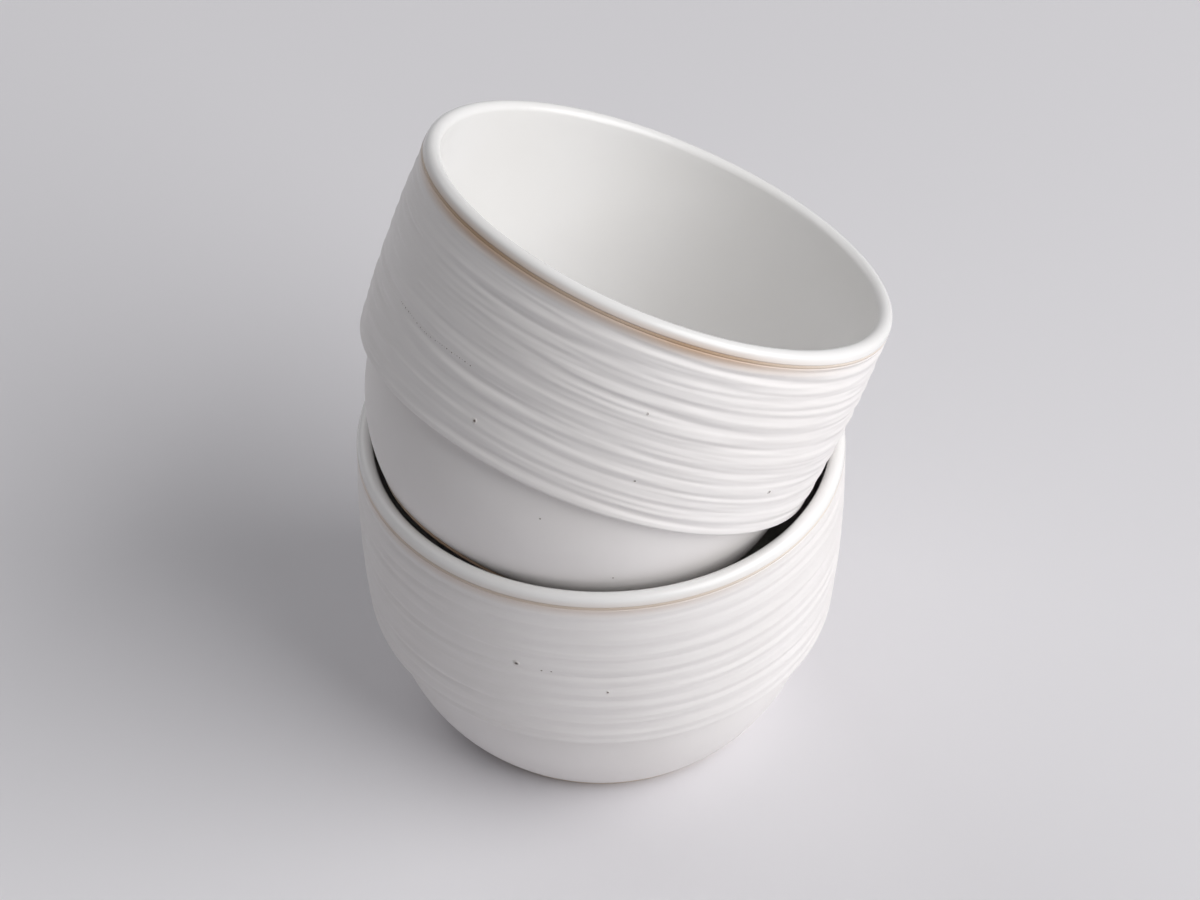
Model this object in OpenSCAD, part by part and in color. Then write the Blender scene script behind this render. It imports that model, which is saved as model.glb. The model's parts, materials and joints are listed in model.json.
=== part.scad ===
// Two ribbed porcelain bowls, one leaning in the mouth of the other.
// The origin is the centre of the standing bowl's foot, on the table.

/* [Bowl] */
// Height of a bowl from its foot to its lip
bowl_h = 68.2; // [62:0.2:76]
// Outer diameter of the glazed lip
lip_d = 97.2; // [94:0.2:104]
// Thickness of the glazed wall at the belly
wall_t = 3.6; // [3:0.1:4.4]
// Thickness of the wall at its round lip
lip_t = 3.1; // [2.4:0.1:3.6]
// Thickness of the fired floor inside the foot ring
floor_t = 4.2; // [3:0.1:6]

/* [Ribbed band] */
// Outer diameter of the band at its lower edge
band_base_d = 94.8; // [91:0.2:98]
// How far the band swells out past a straight side
band_swell = 0.9; // [0:0.1:1.5]
// Number of thrown ribs round the band
rib_count = 11; // [7:1:15]
// Depth of the grooves between the ribs
rib_depth = 0.55; // [0.2:0.05:0.9]
// Height of the smooth collar between the round lip and the clay line
collar_h = 0.7; // [0.4:0.1:2]

/* [Belly and foot] */
// Inward step from the band's lower edge to the smooth belly
step_in = 3.2; // [2:0.1:4]
// Radius of the belly's curve in section
belly_arc_r = 39; // [35:0.5:43]
// Angle at which the belly already turns in under the step
belly_flare = 2; // [0:0.5:6]
// Outer diameter of the foot ring
foot_d = 66; // [60:0.5:70]
// Height of the foot ring's outer side
foot_h = 0.8; // [0.4:0.1:2]
// Width of the foot ring
foot_w = 4.5; // [3:0.1:7]
// Depth of the hollow inside the foot ring
foot_recess = 1.2; // [0.6:0.1:2]

/* [Glaze] */
// Thickness of the gloss glaze inside and over the lip
liner_t = 0.35; // [0.2:0.05:0.6]
// Thickness of the satin glaze outside
outer_glaze_t = 0.3; // [0.2:0.05:0.6]
// Height of the bare clay line between the two glazes
clay_line_h = 0.6; // [0.3:0.1:1.2]

/* [Stack] */
// Lean of the upper bowl from upright, in degrees
lean = 26.6; // [20:0.1:30]
// Direction of the lean, anticlockwise from the right
lean_dir = 35.6; // [0:0.1:360]
// How far the upper bowl's foot sits back from the lean, off the centre line
seat_shift = 15.9; // [14.5:0.1:17.5]
// Clear gap left where the upper bowl touches the lower
seat_gap = 0.2; // [0.1:0.05:0.5]

/* [Hidden] */
$fn = 128;

// Colours: toasted clay, gloss white inside, satin white outside
clay_color = [0.78, 0.68, 0.57];
liner_color = [0.93, 0.93, 0.91];
glaze_color = [0.88, 0.87, 0.86];

// Steps along one rib, and along the round stretches
rib_steps = 6;
arc_steps = 10;

lip_r = lip_d / 2;
base_r = band_base_d / 2;
waist_r = base_r - step_in;
foot_r = foot_d / 2;

// Centre of the belly's arc, and the angle at which it meets the foot ring
belly_x = waist_r - belly_arc_r * cos(belly_flare);
belly_end = acos((foot_r - belly_x) / belly_arc_r);
belly_z = foot_h + belly_arc_r * sin(belly_end);
step_z = belly_z - belly_arc_r * sin(belly_flare);
band_h = bowl_h - step_z;

// The lip is a half round
lip_round = lip_t / 2;
lip_x = lip_r - lip_round;
lip_z = bowl_h - lip_round;

// Heights of the two edges of the clay line, at the foot of the collar
line_top = lip_z - collar_h;
line_low = line_top - clay_line_h;
// The clay stands almost flush with the glaze there
line_under = 0.1;

// Ribs run from the clay line to the band's lower edge, which is a crest
rib_pitch = (line_low - step_z) / (rib_count - 0.5);

// Floor of the pot, level with the glaze, and the angle where the curve meets it
floor_z = foot_recess + floor_t;
floor_end = asin((belly_z - floor_z) / (belly_arc_r - wall_t));
foot_bevel = 0.5;

function mix(a, b, s) = a + (b - a) * s;
function turned(list) = [for (i = [len(list) - 1 : -1 : 0]) list[i]];
function swell(s) = 4 * band_swell * s * (1 - s);

// Outer radius of the glazed band at height z, on the crests of the ribs
function band_r(z) =
    let (s = (z - step_z) / band_h)
    mix(base_r, lip_r, s) + swell(s);

// Depth below the crests at height z: round crests and narrower grooves
function groove(z) =
    let (turn = 360 * (line_low - z) / rib_pitch)
    rib_depth * pow(0.5 + 0.5 * cos(turn), 1.6);

// A point on the belly's arc, moved in by d
function belly(angle, d) = [
    belly_x + (belly_arc_r - d) * cos(angle),
    belly_z - (belly_arc_r - d) * sin(angle)
];

// Inner radius of the glazed wall at height z, above the inner curve
inner_low = belly(belly_flare, wall_t);
function inner_r(z) =
    let (s = (z - inner_low[1]) / (lip_z - inner_low[1]))
    mix(inner_low[0], lip_r - lip_t, s) + swell(s);

// Inside, from the axis up to the lip, with d of glaze taken off
function inside(d) = concat(
    [[0, floor_z - d]],
    [for (i = [0 : arc_steps])
        belly(mix(floor_end, belly_flare, i / arc_steps), wall_t - d)],
    [for (i = [1 : arc_steps - 1])
        let (z = mix(inner_low[1], lip_z, i / arc_steps))
        [inner_r(z) + d, z]]
);

// Over the lip and down to the clay line, with d of glaze taken off
function lip(d) = concat(
    [for (i = [0 : arc_steps])
        let (angle = 180 - 180 * i / arc_steps)
        [lip_x + (lip_round - d) * cos(angle), lip_z + (lip_round - d) * sin(angle)]],
    [[band_r(line_top) - d, line_top]]
);

// From under the clay line down to the foot ring, with d of glaze taken off
function outside(d) = concat(
    [for (i = [0 : (rib_count - 0.5) * rib_steps - 1])
        let (z = line_low - rib_pitch * i / rib_steps)
        [band_r(z) - groove(z) - d, z]],
    [[base_r - d, step_z + d], [waist_r - d, step_z + d]],
    [for (i = [1 : arc_steps])
        belly(mix(belly_flare, belly_end, i / arc_steps), d)]
);

// Radius at height z, in a bowl's own frame, of its foot ring swelled by d
function foot_reach(z, d) =
    z > foot_h || z < -d ? 0
    : foot_r + sqrt(d * d - pow(min(z, 0), 2));

// The same for its belly
function belly_reach(z, d) =
    let (drop = belly_z - z, reach = belly_arc_r + d)
    drop > reach ? 0
    : belly_x + sqrt(reach * reach - drop * drop);

// The same for the whole outside
function bowl_reach(z, d) =
    let (under = step_z - z)
    under <= 0 ? band_r(z) + d
    : under < d ? base_r + sqrt(d * d - under * under)
    : max(belly_reach(z, d), foot_reach(z, d));

// Smallest gap round the lower lip when the upper foot's centre is at height h
function lip_clear(h) = min([for (phi = [0 : 3 : 180])
    let (
        x = lip_x * cos(phi) + seat_shift,
        y = lip_x * sin(phi),
        z = lip_z - h,
        across = x * cos(lean) - z * sin(lean),
        along = x * sin(lean) + z * cos(lean)
    )
    norm([across, y]) - bowl_reach(along, lip_round + seat_gap)]);

// The upper bowl is let down until it is about to touch the lower lip
function let_down(low, high, tries) =
    let (h = (low + high) / 2)
    tries == 0 ? high
    : lip_clear(h) < 0 ? let_down(h, high, tries - 1)
    : let_down(low, h, tries - 1);
seat_z = let_down(bowl_h / 3, bowl_h * 2, 30);

// Fired clay, bare at the foot ring and in the line under the collar
module bowl_body() {
    color(clay_color)
    rotate_extrude()
    polygon(concat(
        inside(liner_t),
        lip(liner_t),
        [[band_r(line_top) - line_under, line_top], [band_r(line_low) - line_under, line_low]],
        outside(outer_glaze_t),
        [
            [foot_r - foot_bevel, 0],
            [foot_r - foot_w, 0],
            [foot_r - foot_w - foot_bevel, foot_recess],
            [0, foot_recess]
        ]
    ));
}

// Gloss glaze that lines the pot and runs over its lip
module bowl_liner_glaze() {
    color(liner_color)
    rotate_extrude()
    polygon(concat(
        inside(liner_t), lip(liner_t),
        turned(concat(inside(0), lip(0)))
    ));
}

// Satin glaze on the ribbed band and the belly
module bowl_outer_glaze() {
    color(glaze_color)
    rotate_extrude()
    polygon(concat(outside(outer_glaze_t), turned(outside(0))));
}

// Sets a bowl leaning in the mouth of the lower one
module leaning() {
    rotate([0, 0, lean_dir])
    translate([-seat_shift, 0, seat_z])
    rotate([0, lean, 0])
    children();
}

module lower_bowl_body() { bowl_body(); }
module lower_bowl_liner_glaze() { bowl_liner_glaze(); }
module lower_bowl_outer_glaze() { bowl_outer_glaze(); }
module upper_bowl_body() { leaning() bowl_body(); }
module upper_bowl_liner_glaze() { leaning() bowl_liner_glaze(); }
module upper_bowl_outer_glaze() { leaning() bowl_outer_glaze(); }

lower_bowl_body();
lower_bowl_liner_glaze();
lower_bowl_outer_glaze();
upper_bowl_body();
upper_bowl_liner_glaze();
upper_bowl_outer_glaze();
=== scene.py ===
import json
import math
import bmesh
import bpy
import numpy as np
from mathutils import Matrix, Vector


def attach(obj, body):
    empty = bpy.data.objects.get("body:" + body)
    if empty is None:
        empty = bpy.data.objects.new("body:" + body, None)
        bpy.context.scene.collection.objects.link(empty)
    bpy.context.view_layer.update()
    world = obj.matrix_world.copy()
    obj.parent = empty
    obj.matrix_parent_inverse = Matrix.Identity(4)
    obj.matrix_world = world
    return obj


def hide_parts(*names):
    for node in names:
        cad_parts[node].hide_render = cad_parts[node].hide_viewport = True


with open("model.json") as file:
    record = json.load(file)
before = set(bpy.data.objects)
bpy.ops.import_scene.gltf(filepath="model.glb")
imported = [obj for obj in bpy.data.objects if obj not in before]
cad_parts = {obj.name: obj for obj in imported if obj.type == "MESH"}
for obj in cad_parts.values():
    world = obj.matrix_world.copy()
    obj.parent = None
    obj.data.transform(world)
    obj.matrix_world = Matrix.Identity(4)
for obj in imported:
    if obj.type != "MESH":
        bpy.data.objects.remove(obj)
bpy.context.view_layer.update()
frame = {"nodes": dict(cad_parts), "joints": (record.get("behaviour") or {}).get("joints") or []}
print("frame loaded with", len(frame["nodes"]), "nodes")

mm = 0.001


def linearColour(code):  # sRGB hex to the linear colour that a shader takes
    channels = [int(code[i:i + 2], 16) / 255 for i in (0, 2, 4)]
    return tuple(c / 12.92 if c <= 0.04045 else ((c + 0.055) / 1.055) ** 2.4 for c in channels) + (1,)


def addNode(tree, kind, inputs=None, **settings):  # a node with its settings, values and links
    node = tree.nodes.new(kind)
    for name, value in settings.items():
        setattr(node, name, value)
    for spot, value in (inputs or {}).items():
        if isinstance(value, bpy.types.NodeSocket):
            tree.links.new(value, node.inputs[spot])
        else:
            node.inputs[spot].default_value = value
    return node


def newTree(name, sockets):  # a geometry tree with named inputs and their first values
    tree = bpy.data.node_groups.new(name, "GeometryNodeTree")
    tree.interface.new_socket("Geometry", in_out="INPUT", socket_type="NodeSocketGeometry")
    for label, (kind, value) in sockets.items():
        socket = tree.interface.new_socket(label, in_out="INPUT", socket_type="NodeSocket" + kind)
        if value is not None:
            socket.default_value = value
    tree.interface.new_socket("Geometry", in_out="OUTPUT", socket_type="NodeSocketGeometry")
    return tree, addNode(tree, "NodeGroupInput").outputs


def addTree(piece, tree, values):  # puts a tree on a piece, with inputs set by their identifiers
    modifier = piece.modifiers.new(tree.name, "NODES")
    modifier.node_group = tree
    for item in tree.interface.items_tree:
        if item.item_type == "SOCKET" and item.in_out == "INPUT" and item.name in values:
            modifier[item.identifier] = values[item.name]


def settle(piece, place):  # turns a piece's trees into a plain closed mesh, moved to its place
    depsgraph = bpy.context.evaluated_depsgraph_get()
    evaluated = piece.evaluated_get(depsgraph)
    mesh = bpy.data.meshes.new_from_object(evaluated, preserve_all_data_layers=True, depsgraph=depsgraph)
    piece.modifiers.clear()
    piece.data = mesh
    shape = bmesh.new()
    shape.from_mesh(mesh)
    bmesh.ops.recalc_face_normals(shape, faces=shape.faces)
    shape.to_mesh(mesh)
    shape.free()
    mesh.transform(place)
    mesh.name = piece.name


# one bowl in millimetres, as the solids have it; both bowls share it
bowl = {
    "height": 68.2, "lipDiameter": 97.2, "wall": 3.6, "lip": 3.1, "floor": 4.2,
    "bandBaseDiameter": 94.8, "bandSwell": 0.9, "collar": 0.7,
    "stepIn": 3.2, "bellyRadius": 39, "bellyFlare": 2,
    "footDiameter": 66, "footHeight": 0.8, "footWidth": 4.5, "footRecess": 1.2, "footBevel": 0.5,
    "liner": 0.35, "glaze": 0.3, "clayLine": 0.6,
    "underRibs": 1.0,      # clay under the band lies this far below the crests
    "bead": 0.28,          # rounding of a glaze edge
    "edgeRound": 0.9,      # rounding of the band's lower edge
    "fillet": 0.8,         # hollow under that edge
    "segments": 384,
    "bandRows": 118,
}

lipR = bowl["lipDiameter"] / 2
baseR = bowl["bandBaseDiameter"] / 2
waistR = baseR - bowl["stepIn"]
footR = bowl["footDiameter"] / 2
bellyX = waistR - bowl["bellyRadius"] * math.cos(math.radians(bowl["bellyFlare"]))
bellyEnd = math.degrees(math.acos((footR - bellyX) / bowl["bellyRadius"]))
bellyZ = bowl["footHeight"] + bowl["bellyRadius"] * math.sin(math.radians(bellyEnd))
stepZ = bellyZ - bowl["bellyRadius"] * math.sin(math.radians(bowl["bellyFlare"]))
lipRound = bowl["lip"] / 2
lipX = lipR - lipRound
lipZ = bowl["height"] - lipRound
lineTop = lipZ - bowl["collar"]
lineLow = lineTop - bowl["clayLine"]
floorZ = bowl["footRecess"] + bowl["floor"]


def arc(x, z, radius, start, end, steps):
    return [(x + radius * math.cos(math.radians(a)), z + radius * math.sin(math.radians(a)))
            for a in np.linspace(start, end, steps)]


def swell(share):
    return 4 * bowl["bandSwell"] * share * (1 - share)


def bandRadius(z):  # crests of the ribs
    share = (z - stepZ) / (bowl["height"] - stepZ)
    return baseR + (lipR - baseR) * share + swell(share)


def belly(angle, inset):
    return arc(bellyX, bellyZ, bowl["bellyRadius"] - inset, -angle, -angle, 1)[0]


innerLow = belly(bowl["bellyFlare"], bowl["wall"])


def innerRadius(z):
    share = (z - innerLow[1]) / (lipZ - innerLow[1])
    return innerLow[0] + (lipR - bowl["lip"] - innerLow[0]) * share + swell(share)


def insideLine(inset):  # from the floor's centre up to the lip
    reach = bowl["bellyRadius"] - bowl["wall"]
    floorEnd = math.degrees(math.asin((bellyZ - floorZ) / reach))
    curve = [belly(a, bowl["wall"] - inset) for a in np.linspace(floorEnd, bowl["bellyFlare"], 26)]
    flat = [(curve[0][0] * share, floorZ - inset) for share in (0, 0.12, 0.35, 0.6, 0.82, 0.94)]
    wall = [(innerRadius(z) + inset, z) for z in np.linspace(innerLow[1], lipZ, 26)[1:-1]]
    return flat + curve + wall


def lipLine(inset):  # over the lip and down its outer side
    return arc(lipX, lipZ, lipRound - inset, 180, 0, 17)


def underGlaze():  # the clay's face under the outer glaze, from the clay line down to the foot
    band = [(bandRadius(z) - bowl["underRibs"], z) for z in np.linspace(lineLow, stepZ + 1.2, 10)]
    low = [belly(a, bowl["glaze"]) for a in np.linspace(bowl["bellyFlare"] + 1.5, bellyEnd, 24)]
    return band + low


def linerProfile():
    bead = bowl["bead"]
    edge = arc(bandRadius(lineTop) - bead, lineTop + bead, bead, 0, -80, 5)
    seen = insideLine(0) + lipLine(0) + edge
    hidden = insideLine(bowl["liner"]) + lipLine(bowl["liner"])
    hidden.append((bandRadius(lineTop) - bowl["liner"], lineTop))
    return seen, hidden[::-1], False


def outerProfile():
    bead, edge, fillet = bowl["bead"], bowl["edgeRound"], bowl["fillet"]
    seen = arc(bandRadius(lineLow) - bead, lineLow - bead, bead, 80, 0, 5)
    rows = np.linspace(lineLow - bead, stepZ + edge, bowl["bandRows"])
    seen += [(bandRadius(z), z) for z in rows[1:-1]]
    seen += arc(baseR - edge, stepZ + edge, edge, 0, -90, 8)
    seen += arc(waistR + fillet, stepZ - fillet, fillet, 90, 180, 7)
    start = bowl["bellyFlare"] + math.degrees(1.2 * fillet / bowl["bellyRadius"])
    seen += [belly(a, 0) for a in np.linspace(start, bellyEnd - 0.4, 40)]
    return seen, underGlaze()[::-1], True


def clayProfile():
    line = [(bandRadius(lineTop) - bowl["liner"], lineTop)]
    line += [(bandRadius(z) - 0.1, z) for z in np.linspace(lineTop - 0.02, lineLow + 0.02, 4)]
    foot = arc(footR - 0.7, 0.45, 0.45, 0, -90, 5)
    foot += arc(footR - bowl["footWidth"] + 0.3, 0.4, 0.4, -90, -180, 5)
    foot += [(footR - bowl["footWidth"] - bowl["footBevel"], bowl["footRecess"])]
    foot += [(footR * share, bowl["footRecess"]) for share in (0.6, 0.3, 0.1, 0)]
    return insideLine(bowl["liner"]) + lipLine(bowl["liner"]) + line + underGlaze() + foot, [], False


def drawProfile(name, seen, hidden, closed):  # an outline in the XY plane: radius along X, height along -Y
    points = seen + hidden
    mesh = bpy.data.meshes.new(name)
    edges = [(i, i + 1) for i in range(len(points) - 1)]
    if closed:
        edges.append((len(points) - 1, 0))
    mesh.from_pydata([(r * mm - lipR * mm, -z * mm, 0) for r, z in points], edges, [])
    skin = mesh.attributes.new("skin", "FLOAT", "POINT")
    skin.data.foreach_set("value", [1.0] * len(seen) + [0.0] * len(hidden))
    piece = bpy.data.objects.new(name, mesh)
    bpy.context.scene.collection.objects.link(piece)
    return piece


# the wheel turns an outline round the bowl's axis
def wheelTree():
    tree, given = newTree("turnedOnWheel", {
        "Path Radius": ("Float", 0.05), "Segments": ("Int", 96), "Glaze": ("Material", None)})
    path = addNode(tree, "GeometryNodeCurvePrimitiveCircle",
                   {"Resolution": given["Segments"], "Radius": given["Path Radius"]})
    upright = addNode(tree, "GeometryNodeSetCurveNormal", {"Curve": path.outputs[0]}, mode="Z_UP")
    outline = addNode(tree, "GeometryNodeMeshToCurve", {"Mesh": given["Geometry"]})
    turned = addNode(tree, "GeometryNodeCurveToMesh",
                     {"Curve": upright.outputs[0], "Profile Curve": outline.outputs[0]})
    joined = addNode(tree, "GeometryNodeMergeByDistance",
                     {"Geometry": turned.outputs[0], "Distance": 0.01 * mm})
    place = addNode(tree, "GeometryNodeInputPosition")
    kept = addNode(tree, "GeometryNodeStoreNamedAttribute",
                   {"Geometry": joined.outputs[0], "Name": "bowlPoint", "Value": place.outputs[0]},
                   data_type="FLOAT_VECTOR", domain="POINT")
    smooth = addNode(tree, "GeometryNodeSetShadeSmooth", {"Geometry": kept.outputs[0]})
    real = addNode(tree, "GeometryNodeRealizeInstances", {"Geometry": smooth.outputs[0]})
    clad = addNode(tree, "GeometryNodeSetMaterial",
                   {"Geometry": real.outputs[0], "Material": given["Glaze"]})
    addNode(tree, "NodeGroupOutput", {"Geometry": clad.outputs[0]})
    return tree


# a hand-thrown band: grooves that wander, and streaks that split and merge
thrown = {
    "turns": 10.5,             # grooves between the clay line and the step
    "wanderCell": (60, 60, 9),   # millimetres over which each noise changes, round and up the bowl
    "fadeCell": (35, 35, 6),
    "streakCell": (38, 38, 1.3),
    "waverCell": 45,
    "sharpness": 1.5,
    "fadeGain": 1.9, "fadeShift": -0.35,
    "streakGain": 2.2, "streakShift": -0.7,
    "topFade": (0.2, 1.4), "lowFade": (0.5, 2.2), "waverReach": 6,
}


def ribTree():
    tree, given = newTree("thrownRibs", {
        "Rib Pitch": ("Float", 3.5 * mm), "Rib Depth": ("Float", 0.4 * mm),
        "Streak Depth": ("Float", 0.2 * mm), "Wander": ("Float", 0.4), "Edge Waver": ("Float", 0.2 * mm),
        "Line Height": ("Float", 64 * mm), "Step Height": ("Float", 27 * mm),
        "Seed": ("Float", 0.0), "Glaze": ("Material", None)})
    place = addNode(tree, "GeometryNodeInputPosition").outputs[0]
    height = addNode(tree, "ShaderNodeSeparateXYZ", {0: place}).outputs["Z"]
    noises = {}
    for label, shift, detail in (("wander", 0.0, 1.0), ("fade", 5.0, 1.0), ("streak", 9.0, 2.0)):
        cells = tuple(1 / (size * mm) for size in thrown[label + "Cell"])
        spread = addNode(tree, "ShaderNodeVectorMath", {0: place, 1: cells}, operation="MULTIPLY")
        seed = addNode(tree, "ShaderNodeMath", {0: given["Seed"], 1: shift}, operation="ADD")
        noises[label] = addNode(tree, "ShaderNodeTexNoise",
                                {"Vector": spread.outputs[0], "W": seed.outputs[0], "Scale": 1.0,
                                 "Detail": detail},
                                noise_dimensions="4D").outputs[0]
    # grooves follow the turn of a cosine, pushed up and down by the slow wander
    down = addNode(tree, "ShaderNodeMath", {0: given["Line Height"], 1: height},
                   operation="SUBTRACT").outputs[0]
    turns = addNode(tree, "ShaderNodeMath", {0: down, 1: given["Rib Pitch"]}, operation="DIVIDE")
    push = addNode(tree, "ShaderNodeMath", {0: noises["wander"], 1: 0.5}, operation="SUBTRACT")
    phase = addNode(tree, "ShaderNodeMath", {0: push.outputs[0], 1: given["Wander"], 2: turns.outputs[0]},
                    operation="MULTIPLY_ADD")
    angle = addNode(tree, "ShaderNodeMath", {0: phase.outputs[0], 1: 2 * math.pi}, operation="MULTIPLY")
    wave = addNode(tree, "ShaderNodeMath", {0: angle.outputs[0]}, operation="COSINE")
    lifted = addNode(tree, "ShaderNodeMath", {0: wave.outputs[0], 1: 0.5, 2: 0.5}, operation="MULTIPLY_ADD")
    groove = addNode(tree, "ShaderNodeMath", {0: lifted.outputs[0], 1: thrown["sharpness"]},
                     operation="POWER")
    fade = addNode(tree, "ShaderNodeMath", {0: noises["fade"], 1: thrown["fadeGain"], 2: thrown["fadeShift"]},
                   operation="MULTIPLY_ADD")
    worn = addNode(tree, "ShaderNodeMath", {0: groove.outputs[0], 1: fade.outputs[0]}, operation="MULTIPLY")
    deep = addNode(tree, "ShaderNodeMath", {0: worn.outputs[0], 1: given["Rib Depth"]}, operation="MULTIPLY")
    # streaks are long thin noise
    line = addNode(tree, "ShaderNodeMath",
                   {0: noises["streak"], 1: thrown["streakGain"], 2: thrown["streakShift"]},
                   operation="MULTIPLY_ADD")
    streak = addNode(tree, "ShaderNodeMath", {0: line.outputs[0], 1: 0.0}, operation="MAXIMUM")
    both = addNode(tree, "ShaderNodeMath",
                   {0: streak.outputs[0], 1: given["Streak Depth"], 2: deep.outputs[0]},
                   operation="MULTIPLY_ADD")
    # all of it dies out at the clay line, at the band's lower edge and on the hidden face
    over = addNode(tree, "ShaderNodeMath", {0: height, 1: given["Step Height"]},
                   operation="SUBTRACT").outputs[0]
    top = addNode(tree, "ShaderNodeMapRange",
                  {0: down, 1: thrown["topFade"][0] * mm, 2: thrown["topFade"][1] * mm, 3: 0.0, 4: 1.0},
                  interpolation_type="SMOOTHSTEP")
    low = addNode(tree, "ShaderNodeMapRange",
                  {0: over, 1: thrown["lowFade"][0] * mm, 2: thrown["lowFade"][1] * mm, 3: 0.0, 4: 1.0},
                  interpolation_type="SMOOTHSTEP")
    skin = addNode(tree, "GeometryNodeInputNamedAttribute", {"Name": "skin"}, data_type="FLOAT").outputs[0]
    ends = addNode(tree, "ShaderNodeMath", {0: top.outputs[0], 1: low.outputs[0]}, operation="MULTIPLY")
    where = addNode(tree, "ShaderNodeMath", {0: ends.outputs[0], 1: skin}, operation="MULTIPLY")
    depth = addNode(tree, "ShaderNodeMath", {0: both.outputs[0], 1: where.outputs[0]}, operation="MULTIPLY")
    inward = addNode(tree, "ShaderNodeMath", {0: depth.outputs[0], 1: -1.0}, operation="MULTIPLY")
    flat = addNode(tree, "ShaderNodeVectorMath", {0: place, 1: (1, 1, 0)}, operation="MULTIPLY")
    radial = addNode(tree, "ShaderNodeVectorMath", {0: flat.outputs[0]}, operation="NORMALIZE")
    offset = addNode(tree, "ShaderNodeVectorMath", {0: radial.outputs[0], "Scale": inward.outputs[0]},
                     operation="SCALE")
    # the trimmed lower edge wavers a little up and down
    away = addNode(tree, "ShaderNodeMath", {0: over}, operation="ABSOLUTE")
    near = addNode(tree, "ShaderNodeMapRange",
                   {0: away.outputs[0], 1: thrown["waverReach"] * mm, 2: 0.0, 3: 0.0, 4: 1.0},
                   interpolation_type="SMOOTHSTEP")
    around = addNode(tree, "ShaderNodeVectorMath",
                     {0: flat.outputs[0], "Scale": 1 / (thrown["waverCell"] * mm)}, operation="SCALE")
    drift = addNode(tree, "ShaderNodeTexNoise",
                    {"Vector": around.outputs[0], "W": given["Seed"], "Scale": 1.0, "Detail": 1.0},
                    noise_dimensions="4D")
    level = addNode(tree, "ShaderNodeMath", {0: drift.outputs[0], 1: 0.5}, operation="SUBTRACT")
    lift = addNode(tree, "ShaderNodeMath", {0: level.outputs[0], 1: given["Edge Waver"]},
                   operation="MULTIPLY")
    held = addNode(tree, "ShaderNodeMath", {0: lift.outputs[0], 1: near.outputs[0]}, operation="MULTIPLY")
    seen = addNode(tree, "ShaderNodeMath", {0: held.outputs[0], 1: skin}, operation="MULTIPLY")
    rise = addNode(tree, "ShaderNodeCombineXYZ", {"Z": seen.outputs[0]})
    moved = addNode(tree, "ShaderNodeVectorMath", {0: offset.outputs[0], 1: rise.outputs[0]}, operation="ADD")
    shaped = addNode(tree, "GeometryNodeSetPosition",
                     {"Geometry": given["Geometry"], "Offset": moved.outputs[0]})
    real = addNode(tree, "GeometryNodeRealizeInstances", {"Geometry": shaped.outputs[0]})
    clad = addNode(tree, "GeometryNodeSetMaterial", {"Geometry": real.outputs[0], "Material": given["Glaze"]})
    addNode(tree, "NodeGroupOutput", {"Geometry": clad.outputs[0]})
    return tree


def newMaterial(name):
    material = bpy.data.materials.new(name)
    material.use_nodes = True
    tree = material.node_tree
    tree.nodes.clear()
    return material, tree


# where glaze ran thin and iron shows through: patches, most of them on one side of a bowl
iron = {"patchScale": 24.0, "stain": "BF9D7E", "leastSide": 0.08, "leastPatch": 0.7}


def ironPatches(tree, spot, facts):
    flat = addNode(tree, "ShaderNodeVectorMath", {0: spot.outputs["Vector"], 1: (1, 1, 0)},
                   operation="MULTIPLY")
    radial = addNode(tree, "ShaderNodeVectorMath", {0: flat.outputs[0]}, operation="NORMALIZE")
    side = math.radians(facts["ironSide"])
    towards = (math.cos(side), math.sin(side), 0)
    facing = addNode(tree, "ShaderNodeVectorMath", {0: radial.outputs[0], 1: towards},
                     operation="DOT_PRODUCT")
    most = addNode(tree, "ShaderNodeMapRange",
                   {0: facing.outputs["Value"], 1: 0.1, 2: 0.95, 3: iron["leastSide"], 4: 1.0},
                   interpolation_type="SMOOTHSTEP")
    patch = addNode(tree, "ShaderNodeTexNoise",
                    {"Vector": spot.outputs["Vector"], "Scale": iron["patchScale"], "Detail": 2.0,
                     "W": facts["seed"]},
                    noise_dimensions="4D")
    patchy = addNode(tree, "ShaderNodeMapRange",
                     {0: patch.outputs[0], 1: 0.38, 2: 0.58, 3: iron["leastPatch"], 4: 1.0})
    both = addNode(tree, "ShaderNodeMath", {0: most.outputs[0], 1: patchy.outputs[0]}, operation="MULTIPLY")
    shown = addNode(tree, "ShaderNodeMath", {0: both.outputs[0], 1: facts["ironMost"]}, operation="MULTIPLY")
    return shown.outputs[0]


# Satin tin-white stoneware glaze, dipped: soft broad highlights, its white toned in random clouds
satin = {"pale": "ECE9E8", "deep": "E0DCDA", "bleed": 2.6, "sheenLow": 0.38, "sheenHigh": 0.47,
         "cloudScale": 45.0, "peelScale": 900.0, "peelStrength": 0.12, "peelDepth": 0.05}


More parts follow.
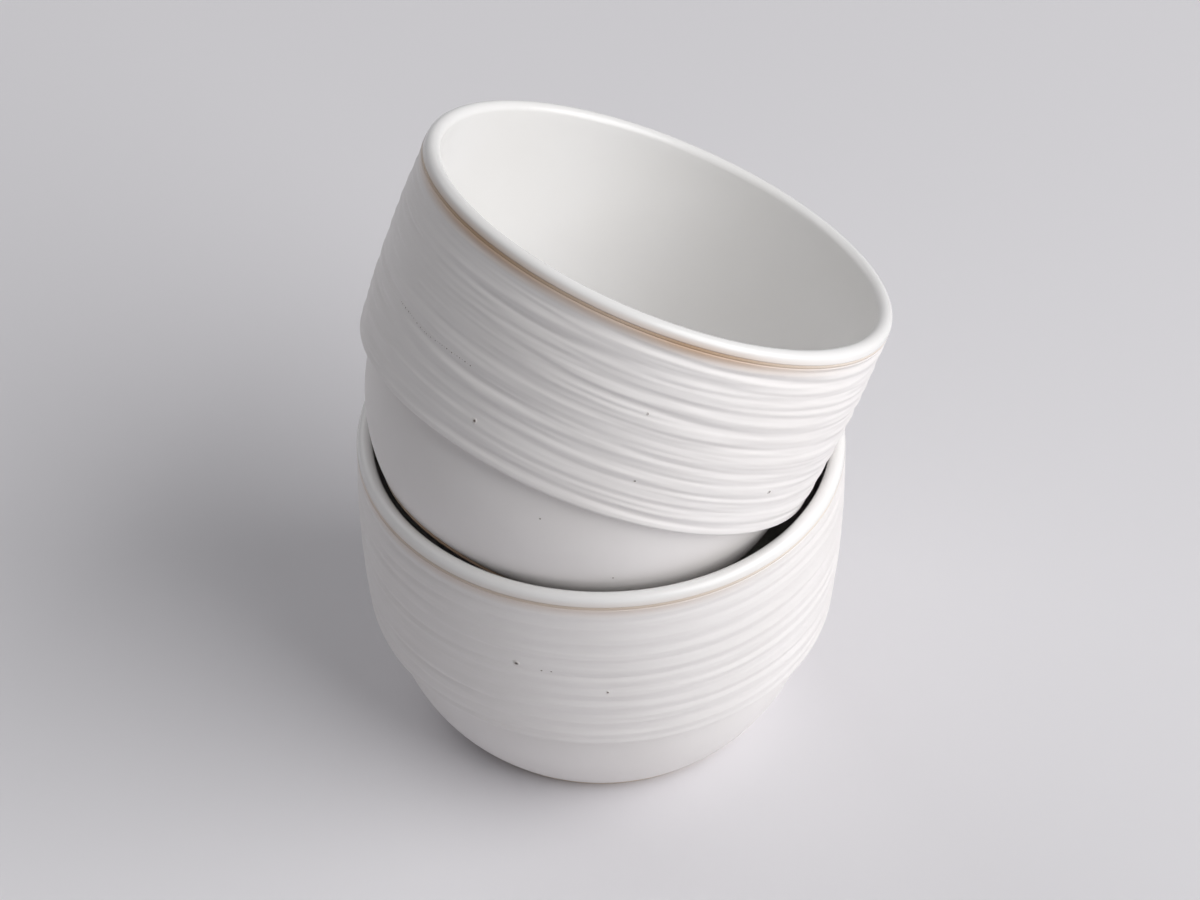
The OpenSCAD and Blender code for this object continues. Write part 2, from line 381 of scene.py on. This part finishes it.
def satinGlaze(facts):
    material, tree = newMaterial("satinWhiteGlaze")
    spot = addNode(tree, "ShaderNodeAttribute", attribute_name="bowlPoint", attribute_type="GEOMETRY")
    height = addNode(tree, "ShaderNodeSeparateXYZ", {0: spot.outputs["Vector"]}).outputs["Z"]
    cloud = addNode(tree, "ShaderNodeTexNoise",
                    {"Vector": spot.outputs["Vector"], "Scale": satin["cloudScale"], "Detail": 3.0,
                     "W": facts["seed"]},
                    noise_dimensions="4D")
    tone = addNode(tree, "ShaderNodeMix",
                   {0: cloud.outputs[0], 6: linearColour(satin["pale"]), 7: linearColour(satin["deep"])},
                   data_type="RGBA")
    # iron from the bare line bleeds down into the first groove
    bleed = addNode(tree, "ShaderNodeMapRange",
                    {0: height, 1: (lineLow - satin["bleed"]) * mm, 2: lineLow * mm, 3: 0.0, 4: 1.0},
                    interpolation_type="SMOOTHSTEP")
    amount = addNode(tree, "ShaderNodeMath",
                     {0: bleed.outputs[0], 1: ironPatches(tree, spot, facts)}, operation="MULTIPLY")
    stained = addNode(tree, "ShaderNodeMix",
                      {0: amount.outputs[0], 6: tone.outputs[2], 7: linearColour(iron["stain"])},
                      data_type="RGBA")
    peel = addNode(tree, "ShaderNodeTexNoise",
                   {"Vector": spot.outputs["Vector"], "Scale": satin["peelScale"], "Detail": 2.0})
    relief = addNode(tree, "ShaderNodeBump",
                     {"Height": peel.outputs[0], "Strength": satin["peelStrength"],
                      "Distance": satin["peelDepth"] * mm})
    sheen = addNode(tree, "ShaderNodeMapRange",
                    {0: cloud.outputs[0], 1: 0.3, 2: 0.7, 3: satin["sheenLow"], 4: satin["sheenHigh"]})
    shader = addNode(tree, "ShaderNodeBsdfPrincipled",
                     {"Base Color": stained.outputs[2], "Roughness": sheen.outputs[0], "IOR": 1.52,
                      "Normal": relief.outputs[0]})
    addNode(tree, "ShaderNodeOutputMaterial", {"Surface": shader.outputs[0]})
    return material


# Clear-over-white gloss liner glaze, poured: smooth, wet and faintly warm
# thinAndShadeMost: strongest mix towards the stain on the lip's outer side, part thin glaze and part painted
# shade
gloss = {"pale": "EFEEEE", "deep": "E6E4E1", "roughness": 0.24, "cloudScale": 30.0, "thinAndShadeMost": 0.7,
         "rippleStrength": 0.1, "rippleDepth": 0.3}


def glossGlaze(facts):
    material, tree = newMaterial("glossWhiteLiner")
    spot = addNode(tree, "ShaderNodeAttribute", attribute_name="bowlPoint", attribute_type="GEOMETRY")
    cloud = addNode(tree, "ShaderNodeTexNoise",
                    {"Vector": spot.outputs["Vector"], "Scale": gloss["cloudScale"], "Detail": 2.0,
                     "W": facts["seed"]},
                    noise_dimensions="4D")
    tone = addNode(tree, "ShaderNodeMix",
                   {0: cloud.outputs[0], 6: linearColour(gloss["pale"]), 7: linearColour(gloss["deep"])},
                   data_type="RGBA")
    # it runs thin over the lip's outer side, where toasted clay shows through in patches; the same darkening
    # is also painted shade that dulls the lip's bright roll, most on the side each bowl's ironSide faces
    height = addNode(tree, "ShaderNodeSeparateXYZ", {0: spot.outputs["Vector"]}).outputs["Z"]
    flat = addNode(tree, "ShaderNodeVectorMath", {0: spot.outputs["Vector"], 1: (1, 1, 0)},
                   operation="MULTIPLY")
    reach = addNode(tree, "ShaderNodeVectorMath", {0: flat.outputs[0]}, operation="LENGTH")
    outside = addNode(tree, "ShaderNodeMapRange",
                      {0: reach.outputs["Value"], 1: (lipX + 0.3) * mm, 2: lipR * mm, 3: 0.0, 4: 1.0},
                      interpolation_type="SMOOTHSTEP")
    under = addNode(tree, "ShaderNodeMapRange",
                    {0: height, 1: (lipZ + 1.0) * mm, 2: lineTop * mm, 3: 0.0, 4: gloss["thinAndShadeMost"]},
                    interpolation_type="SMOOTHSTEP")
    over = addNode(tree, "ShaderNodeMath", {0: outside.outputs[0], 1: under.outputs[0]}, operation="MULTIPLY")
    # the lip's stain: part real clay through thin glaze, part painted shade
    thinAndShaded = addNode(tree, "ShaderNodeMath",
                   {0: over.outputs[0], 1: ironPatches(tree, spot, facts)}, operation="MULTIPLY")
    warmedAndShaded = addNode(tree, "ShaderNodeMix",
                     {0: thinAndShaded.outputs[0], 6: tone.outputs[2], 7: linearColour(iron["stain"])},
                     data_type="RGBA")
    ripple = addNode(tree, "ShaderNodeBump",
                     {"Height": cloud.outputs[0], "Strength": gloss["rippleStrength"],
                      "Distance": gloss["rippleDepth"] * mm})
    shader = addNode(tree, "ShaderNodeBsdfPrincipled",
                     {"Base Color": warmedAndShaded.outputs[2], "Roughness": gloss["roughness"], "IOR": 1.52,
                      "Normal": ripple.outputs[0]})
    addNode(tree, "ShaderNodeOutputMaterial", {"Surface": shader.outputs[0]})
    return material


# Fired stoneware clay, wiped almost bare: dry and toasted in patches, with fine sandy grain
clay = {"light": "DFD6CC", "toasted": "AE8C6A", "grain": 0.35, "grainStrength": 0.5, "grainDepth": 0.08,
        "roughness": 0.7}


def bareClay(facts):
    material, tree = newMaterial("toastedBareClay")
    spot = addNode(tree, "ShaderNodeAttribute", attribute_name="bowlPoint", attribute_type="GEOMETRY")
    grain = addNode(tree, "ShaderNodeTexNoise",
                    {"Vector": spot.outputs["Vector"], "Scale": 1 / (clay["grain"] * mm), "Detail": 2.0})
    tone = addNode(tree, "ShaderNodeMix",
                   {0: ironPatches(tree, spot, facts),
                    6: linearColour(clay["light"]), 7: linearColour(clay["toasted"])},
                   data_type="RGBA")
    relief = addNode(tree, "ShaderNodeBump",
                     {"Height": grain.outputs[0], "Strength": clay["grainStrength"],
                      "Distance": clay["grainDepth"] * mm})
    shader = addNode(tree, "ShaderNodeBsdfPrincipled",
                     {"Base Color": tone.outputs[2], "Roughness": clay["roughness"],
                      "Normal": relief.outputs[0]})
    addNode(tree, "ShaderNodeOutputMaterial", {"Surface": shader.outputs[0]})
    return material


def volumeCentre(node):  # centre of a closed solid's volume
    mesh = frame["nodes"][node].data
    mesh.calc_loop_triangles()
    points = np.array([v.co for v in mesh.vertices])
    corners = points[np.array([t.vertices for t in mesh.loop_triangles])]
    volumes = np.einsum("ij,ij->i", corners[:, 0], np.cross(corners[:, 1], corners[:, 2])) / 6
    return Vector((corners.sum(1) * volumes[:, None] / 4).sum(0) / volumes.sum())


liftAxis = Vector(frame["joints"][0]["axis"]).normalized()
lean = math.acos(liftAxis.z)
leanTowards = math.atan2(liftAxis.y, liftAxis.x)
seat = volumeCentre("upper_bowl_body") - liftAxis * volumeCentre("lower_bowl_body").z
leaning = Matrix.Translation(seat) @ Matrix.Rotation(leanTowards, 4, "Z") @ Matrix.Rotation(lean, 4, "Y")

bowls = {
    "lower": {"place": Matrix.Identity(4), "seed": 2.0, "ribDepth": 0.36, "streakDepth": 0.24,
              "wander": 1.4, "edgeWaver": 0.5, "ironSide": -115, "ironMost": 0.35},
    "upper": {"place": leaning, "seed": 7.0, "ribDepth": 0.36, "streakDepth": 0.46,
              "wander": 2.6, "edgeWaver": 0.9, "ironSide": -150, "ironMost": 0.9},
}

wheel = wheelTree()
ribs = ribTree()


def makeBowl(which, facts):
    body = which + "_bowl"
    parts = {
        "bare_clay": ("clay_pot", clayProfile(), bareClay(facts), "body"),
        "gloss_liner_glaze": ("liner", linerProfile(), glossGlaze(facts), "liner_glaze"),
        "satin_outer_glaze": ("ribbed_skin", outerProfile(), satinGlaze(facts), "outer_glaze"),
    }
    for slotName, (label, outline, material, node) in parts.items():
        piece = drawProfile(which + "_" + label, *outline)
        addTree(piece, wheel, {"Path Radius": lipR * mm, "Segments": bowl["segments"], "Glaze": material})
        if label == "ribbed_skin":
            addTree(piece, ribs, {
                "Rib Pitch": (lineLow - stepZ) / thrown["turns"] * mm, "Rib Depth": facts["ribDepth"] * mm,
                "Streak Depth": facts["streakDepth"] * mm, "Wander": facts["wander"],
                "Line Height": lineLow * mm, "Step Height": stepZ * mm,
                "Edge Waver": facts["edgeWaver"] * mm, "Seed": facts["seed"], "Glaze": material})
        settle(piece, facts["place"])
        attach(piece, body)
        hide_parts(body + "_" + node)
        print(piece.name, "has", len(piece.data.polygons), "faces")


for which, facts in bowls.items():
    makeBowl(which, facts)

# burst gas bubbles in the glaze: turn about the bowl's axis in degrees, height and width in millimetres
pinholes = {
    "lower": [(-109.8, 48.3, 1.0), (-103.8, 47.6, 0.45), (-101.5, 47.8, 0.4), (-88.5, 43.0, 0.5),
              (-91.7, 25.0, 0.4), (-87.2, 25.4, 0.35), (20.0, 33.0, 0.5),
              (95.0, 52.0, 0.6), (160.0, 41.0, 0.45)],
    "upper": [(-159.8, 33.9, 0.7), (-137.1, 20.1, 0.4), (-111.6, 11.3, 0.4), (-120.9, 35.9, 0.5),
              (-84.5, 37.3, 0.6), (-124.6, 50.3, 0.4), (10.0, 38.0, 0.5),
              (75.0, 55.0, 0.4), (120.0, 30.0, 0.6)],
}
# a grain of grit dragged round the upper bowl leaves a broken row of tiny pits
dragged = {"from": 167.1, "turn": 27.2, "height": 42.8, "sway": 0.35, "width": 0.34, "count": 34}
for step in range(dragged["count"]):
    share = step / (dragged["count"] - 1)
    swayed = dragged["height"] + dragged["sway"] * math.cos(2.2 * math.pi * share)
    width = dragged["width"] * (0.65 + 0.35 * math.sin(2.7 * step))
    pinholes["upper"].append((dragged["from"] + dragged["turn"] * share, swayed, width))
# the dark share of each ring is painted shade for the hole; the stamp itself is almost flat
pit = {"sides": 14, "rings": [(0.0, 0.012, 1.0), (0.22, 0.014, 1.0), (0.36, 0.03, 0.55),
                              (0.5, 0.05, 0.1), (0.85, -0.03, 0.0)], "root": -0.25}


def pitMesh():  # one pinhole of unit width, its axis along Z
    points, darks, faces = [(0, 0, pit["rings"][0][1])], [1.0], []
    for radius, rise, dark in pit["rings"][1:]:
        for k in range(pit["sides"]):
            turn = 2 * math.pi * k / pit["sides"]
            points.append((radius * math.cos(turn), radius * math.sin(turn), rise))
            darks.append(dark)
    points.append((0, 0, pit["root"]))
    darks.append(0.0)
    for k in range(pit["sides"]):
        after = (k + 1) % pit["sides"]
        faces.append((0, 1 + k, 1 + after))
        for ring in range(len(pit["rings"]) - 2):
            inner, outer = 1 + ring * pit["sides"], 1 + (ring + 1) * pit["sides"]
            faces.append((inner + k, outer + k, outer + after, inner + after))
        last = 1 + (len(pit["rings"]) - 2) * pit["sides"]
        faces.append((last + k, len(points) - 1, last + after))
    mesh = bpy.data.meshes.new("pit")
    mesh.from_pydata(points, [], faces)
    mesh.attributes.new("dark", "FLOAT", "POINT").data.foreach_set("value", darks)
    return mesh


def pinholeTree():
    tree, given = newTree("burstPinholes", {
        "Skin": ("Object", None), "Pit": ("Object", None), "Glaze": ("Material", None)})
    skin = addNode(tree, "GeometryNodeObjectInfo", {"Object": given["Skin"]}, transform_space="ORIGINAL")
    stamp = addNode(tree, "GeometryNodeObjectInfo", {"Object": given["Pit"]}, transform_space="ORIGINAL")
    near = addNode(tree, "GeometryNodeProximity", {"Geometry": skin.outputs["Geometry"]},
                   target_element="FACES")
    laid = addNode(tree, "GeometryNodeSetPosition",
                   {"Geometry": given["Geometry"], "Position": near.outputs["Position"]})
    normal = addNode(tree, "GeometryNodeInputNormal")
    facing = addNode(tree, "GeometryNodeSampleNearestSurface",
                     {"Mesh": skin.outputs["Geometry"], "Value": normal.outputs[0]}, data_type="FLOAT_VECTOR")
    turn = addNode(tree, "FunctionNodeAlignRotationToVector", {"Vector": facing.outputs["Value"]}, axis="Z")
    width = addNode(tree, "GeometryNodeInputNamedAttribute", {"Name": "width"}, data_type="FLOAT")
    stamped = addNode(tree, "GeometryNodeInstanceOnPoints",
                      {"Points": laid.outputs[0], "Instance": stamp.outputs["Geometry"],
                       "Rotation": turn.outputs[0], "Scale": width.outputs[0]})
    real = addNode(tree, "GeometryNodeRealizeInstances", {"Geometry": stamped.outputs[0]})
    smooth = addNode(tree, "GeometryNodeSetShadeSmooth", {"Geometry": real.outputs[0]})
    clad = addNode(tree, "GeometryNodeSetMaterial",
                   {"Geometry": smooth.outputs[0], "Material": given["Glaze"]})
    addNode(tree, "NodeGroupOutput", {"Geometry": clad.outputs[0]})
    return tree


# Burst glaze pinhole: a dark matt centre in a white ring, the dark painted as the shade inside the hole
pitShade = {"ring": "E6E2DF", "pit": "5C5049", "roughness": 0.5}


def pitShadeGlaze():
    material, tree = newMaterial("ironSpeckPinhole")
    dark = addNode(tree, "ShaderNodeAttribute", attribute_name="dark", attribute_type="GEOMETRY")
    # mixes the pit colour in as painted shade inside the hole
    tone = addNode(tree, "ShaderNodeMix",
                   {0: dark.outputs["Fac"], 6: linearColour(pitShade["ring"]), 7: linearColour(pitShade["pit"])},
                   data_type="RGBA")
    shader = addNode(tree, "ShaderNodeBsdfPrincipled",
                     {"Base Color": tone.outputs[2], "Roughness": pitShade["roughness"], "IOR": 1.5})
    addNode(tree, "ShaderNodeOutputMaterial", {"Surface": shader.outputs[0]})
    return material


stamp = bpy.data.objects.new("pitStamp", pitMesh())
stamping = pinholeTree()
pitGlaze = pitShadeGlaze()
for which, spots in pinholes.items():
    mesh = bpy.data.meshes.new(which + "_pinholes")
    points = []
    for degrees, height, width in spots:
        out = bandRadius(height)
        if height < stepZ:
            out = belly(math.degrees(math.asin((bellyZ - height) / bowl["bellyRadius"])), 0)[0]
        turn = math.radians(degrees)
        points.append((out * mm * math.cos(turn), out * mm * math.sin(turn), height * mm))
    mesh.from_pydata(points, [], [])
    mesh.transform(bowls[which]["place"])
    mesh.attributes.new("width", "FLOAT", "POINT").data.foreach_set("value", [w * mm for _, _, w in spots])
    piece = bpy.data.objects.new(which + "_pinholes", mesh)
    bpy.context.scene.collection.objects.link(piece)
    skin = bpy.data.objects[which + "_ribbed_skin"]
    addTree(piece, stamping, {"Skin": skin, "Pit": stamp, "Glaze": pitGlaze})
    settle(piece, Matrix.Identity(4))
    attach(piece, which + "_bowl")
    print(piece.name, "has", len(spots), "pits")
bpy.data.objects.remove(stamp)

# a soft window on the right, a weaker one behind on the left, and pale walls; metres and watts
studio = {
    "floor": "E4E2E5", "floorRoughness": 0.55, "floorSize": 6.0, "beyond": "D8D6D9",
    "wall": "F4F6FA", "fill": 0.185,
    "lights": {
        "softKey": {"power": 33.0, "size": 1.7, "place": (1.26, -0.56, 1.02)},
        "softBack": {"power": 6.5, "size": 1.4, "place": (-1.0, 1.0, 1.3)},
    },
}

floorMesh = bpy.data.meshes.new("floor")
half = studio["floorSize"] / 2
floorCorners = [(-half, -half, 0), (half, -half, 0), (half, half, 0), (-half, half, 0)]
floorMesh.from_pydata(floorCorners, [], [(0, 1, 2, 3)])
floorPiece = bpy.data.objects.new("floor", floorMesh)
bpy.context.scene.collection.objects.link(floorPiece)
floorMaterial, floorTree = newMaterial("paleHonedFloor")
floorShader = addNode(floorTree, "ShaderNodeBsdfPrincipled",
                      {"Base Color": linearColour(studio["floor"]), "Roughness": studio["floorRoughness"]})
addNode(floorTree, "ShaderNodeOutputMaterial", {"Surface": floorShader.outputs[0]})
floorMesh.materials.append(floorMaterial)

for name, lamp in studio["lights"].items():
    lampData = bpy.data.lights.new(name, "AREA")
    lampData.energy = lamp["power"]
    lampData.size = lamp["size"]
    lampPiece = bpy.data.objects.new(name, lampData)
    lampPiece.location = lamp["place"]
    lampPiece.rotation_euler = (-Vector(lamp["place"])).to_track_quat("-Z", "Y").to_euler()
    bpy.context.scene.collection.objects.link(lampPiece)
print("floor and", len(studio["lights"]), "soft lights placed")

world = bpy.data.worlds.new("paleRoom")
world.use_nodes = True
worldTree = world.node_tree
worldTree.nodes.clear()
rays = addNode(worldTree, "ShaderNodeLightPath")
seen = addNode(worldTree, "ShaderNodeMath",
               {0: rays.outputs["Is Camera Ray"], 1: rays.outputs["Is Transmission Ray"]},
               operation="MAXIMUM")
direct = addNode(worldTree, "ShaderNodeMath",
                 {0: seen.outputs[0], 1: rays.outputs["Is Glossy Ray"]}, operation="MAXIMUM")
room = addNode(worldTree, "ShaderNodeBackground",
               {"Color": linearColour(studio["wall"]), "Strength": studio["fill"]})
beyond = addNode(worldTree, "ShaderNodeBackground",
                 {"Color": linearColour(studio["beyond"]), "Strength": 1.0})
either = addNode(worldTree, "ShaderNodeMixShader",
                 {0: direct.outputs[0], 1: room.outputs[0], 2: beyond.outputs[0]})
addNode(worldTree, "ShaderNodeOutputWorld", {"Surface": either.outputs[0]})
bpy.context.scene.world = world
bpy.context.scene.view_settings.view_transform = "Standard"

view = {"target": (-0.25, 0, 62.6), "distance": 824, "elevation": 42.2, "lens": 123.6, "sensor": 36}
rise = math.radians(view["elevation"])
back = Vector((0, -math.cos(rise), math.sin(rise)))
cameraData = bpy.data.cameras.new("camera")
cameraData.lens = view["lens"]
cameraData.sensor_width = view["sensor"]
cameraData.sensor_fit = "HORIZONTAL"
cameraData.clip_start = 0.01
camera = bpy.data.objects.new("camera", cameraData)
camera.location = (Vector(view["target"]) + back * view["distance"]) * mm
camera.rotation_euler = (-back).to_track_quat("-Z", "Y").to_euler()
bpy.context.scene.collection.objects.link(camera)
bpy.context.scene.camera = camera
print("camera set")
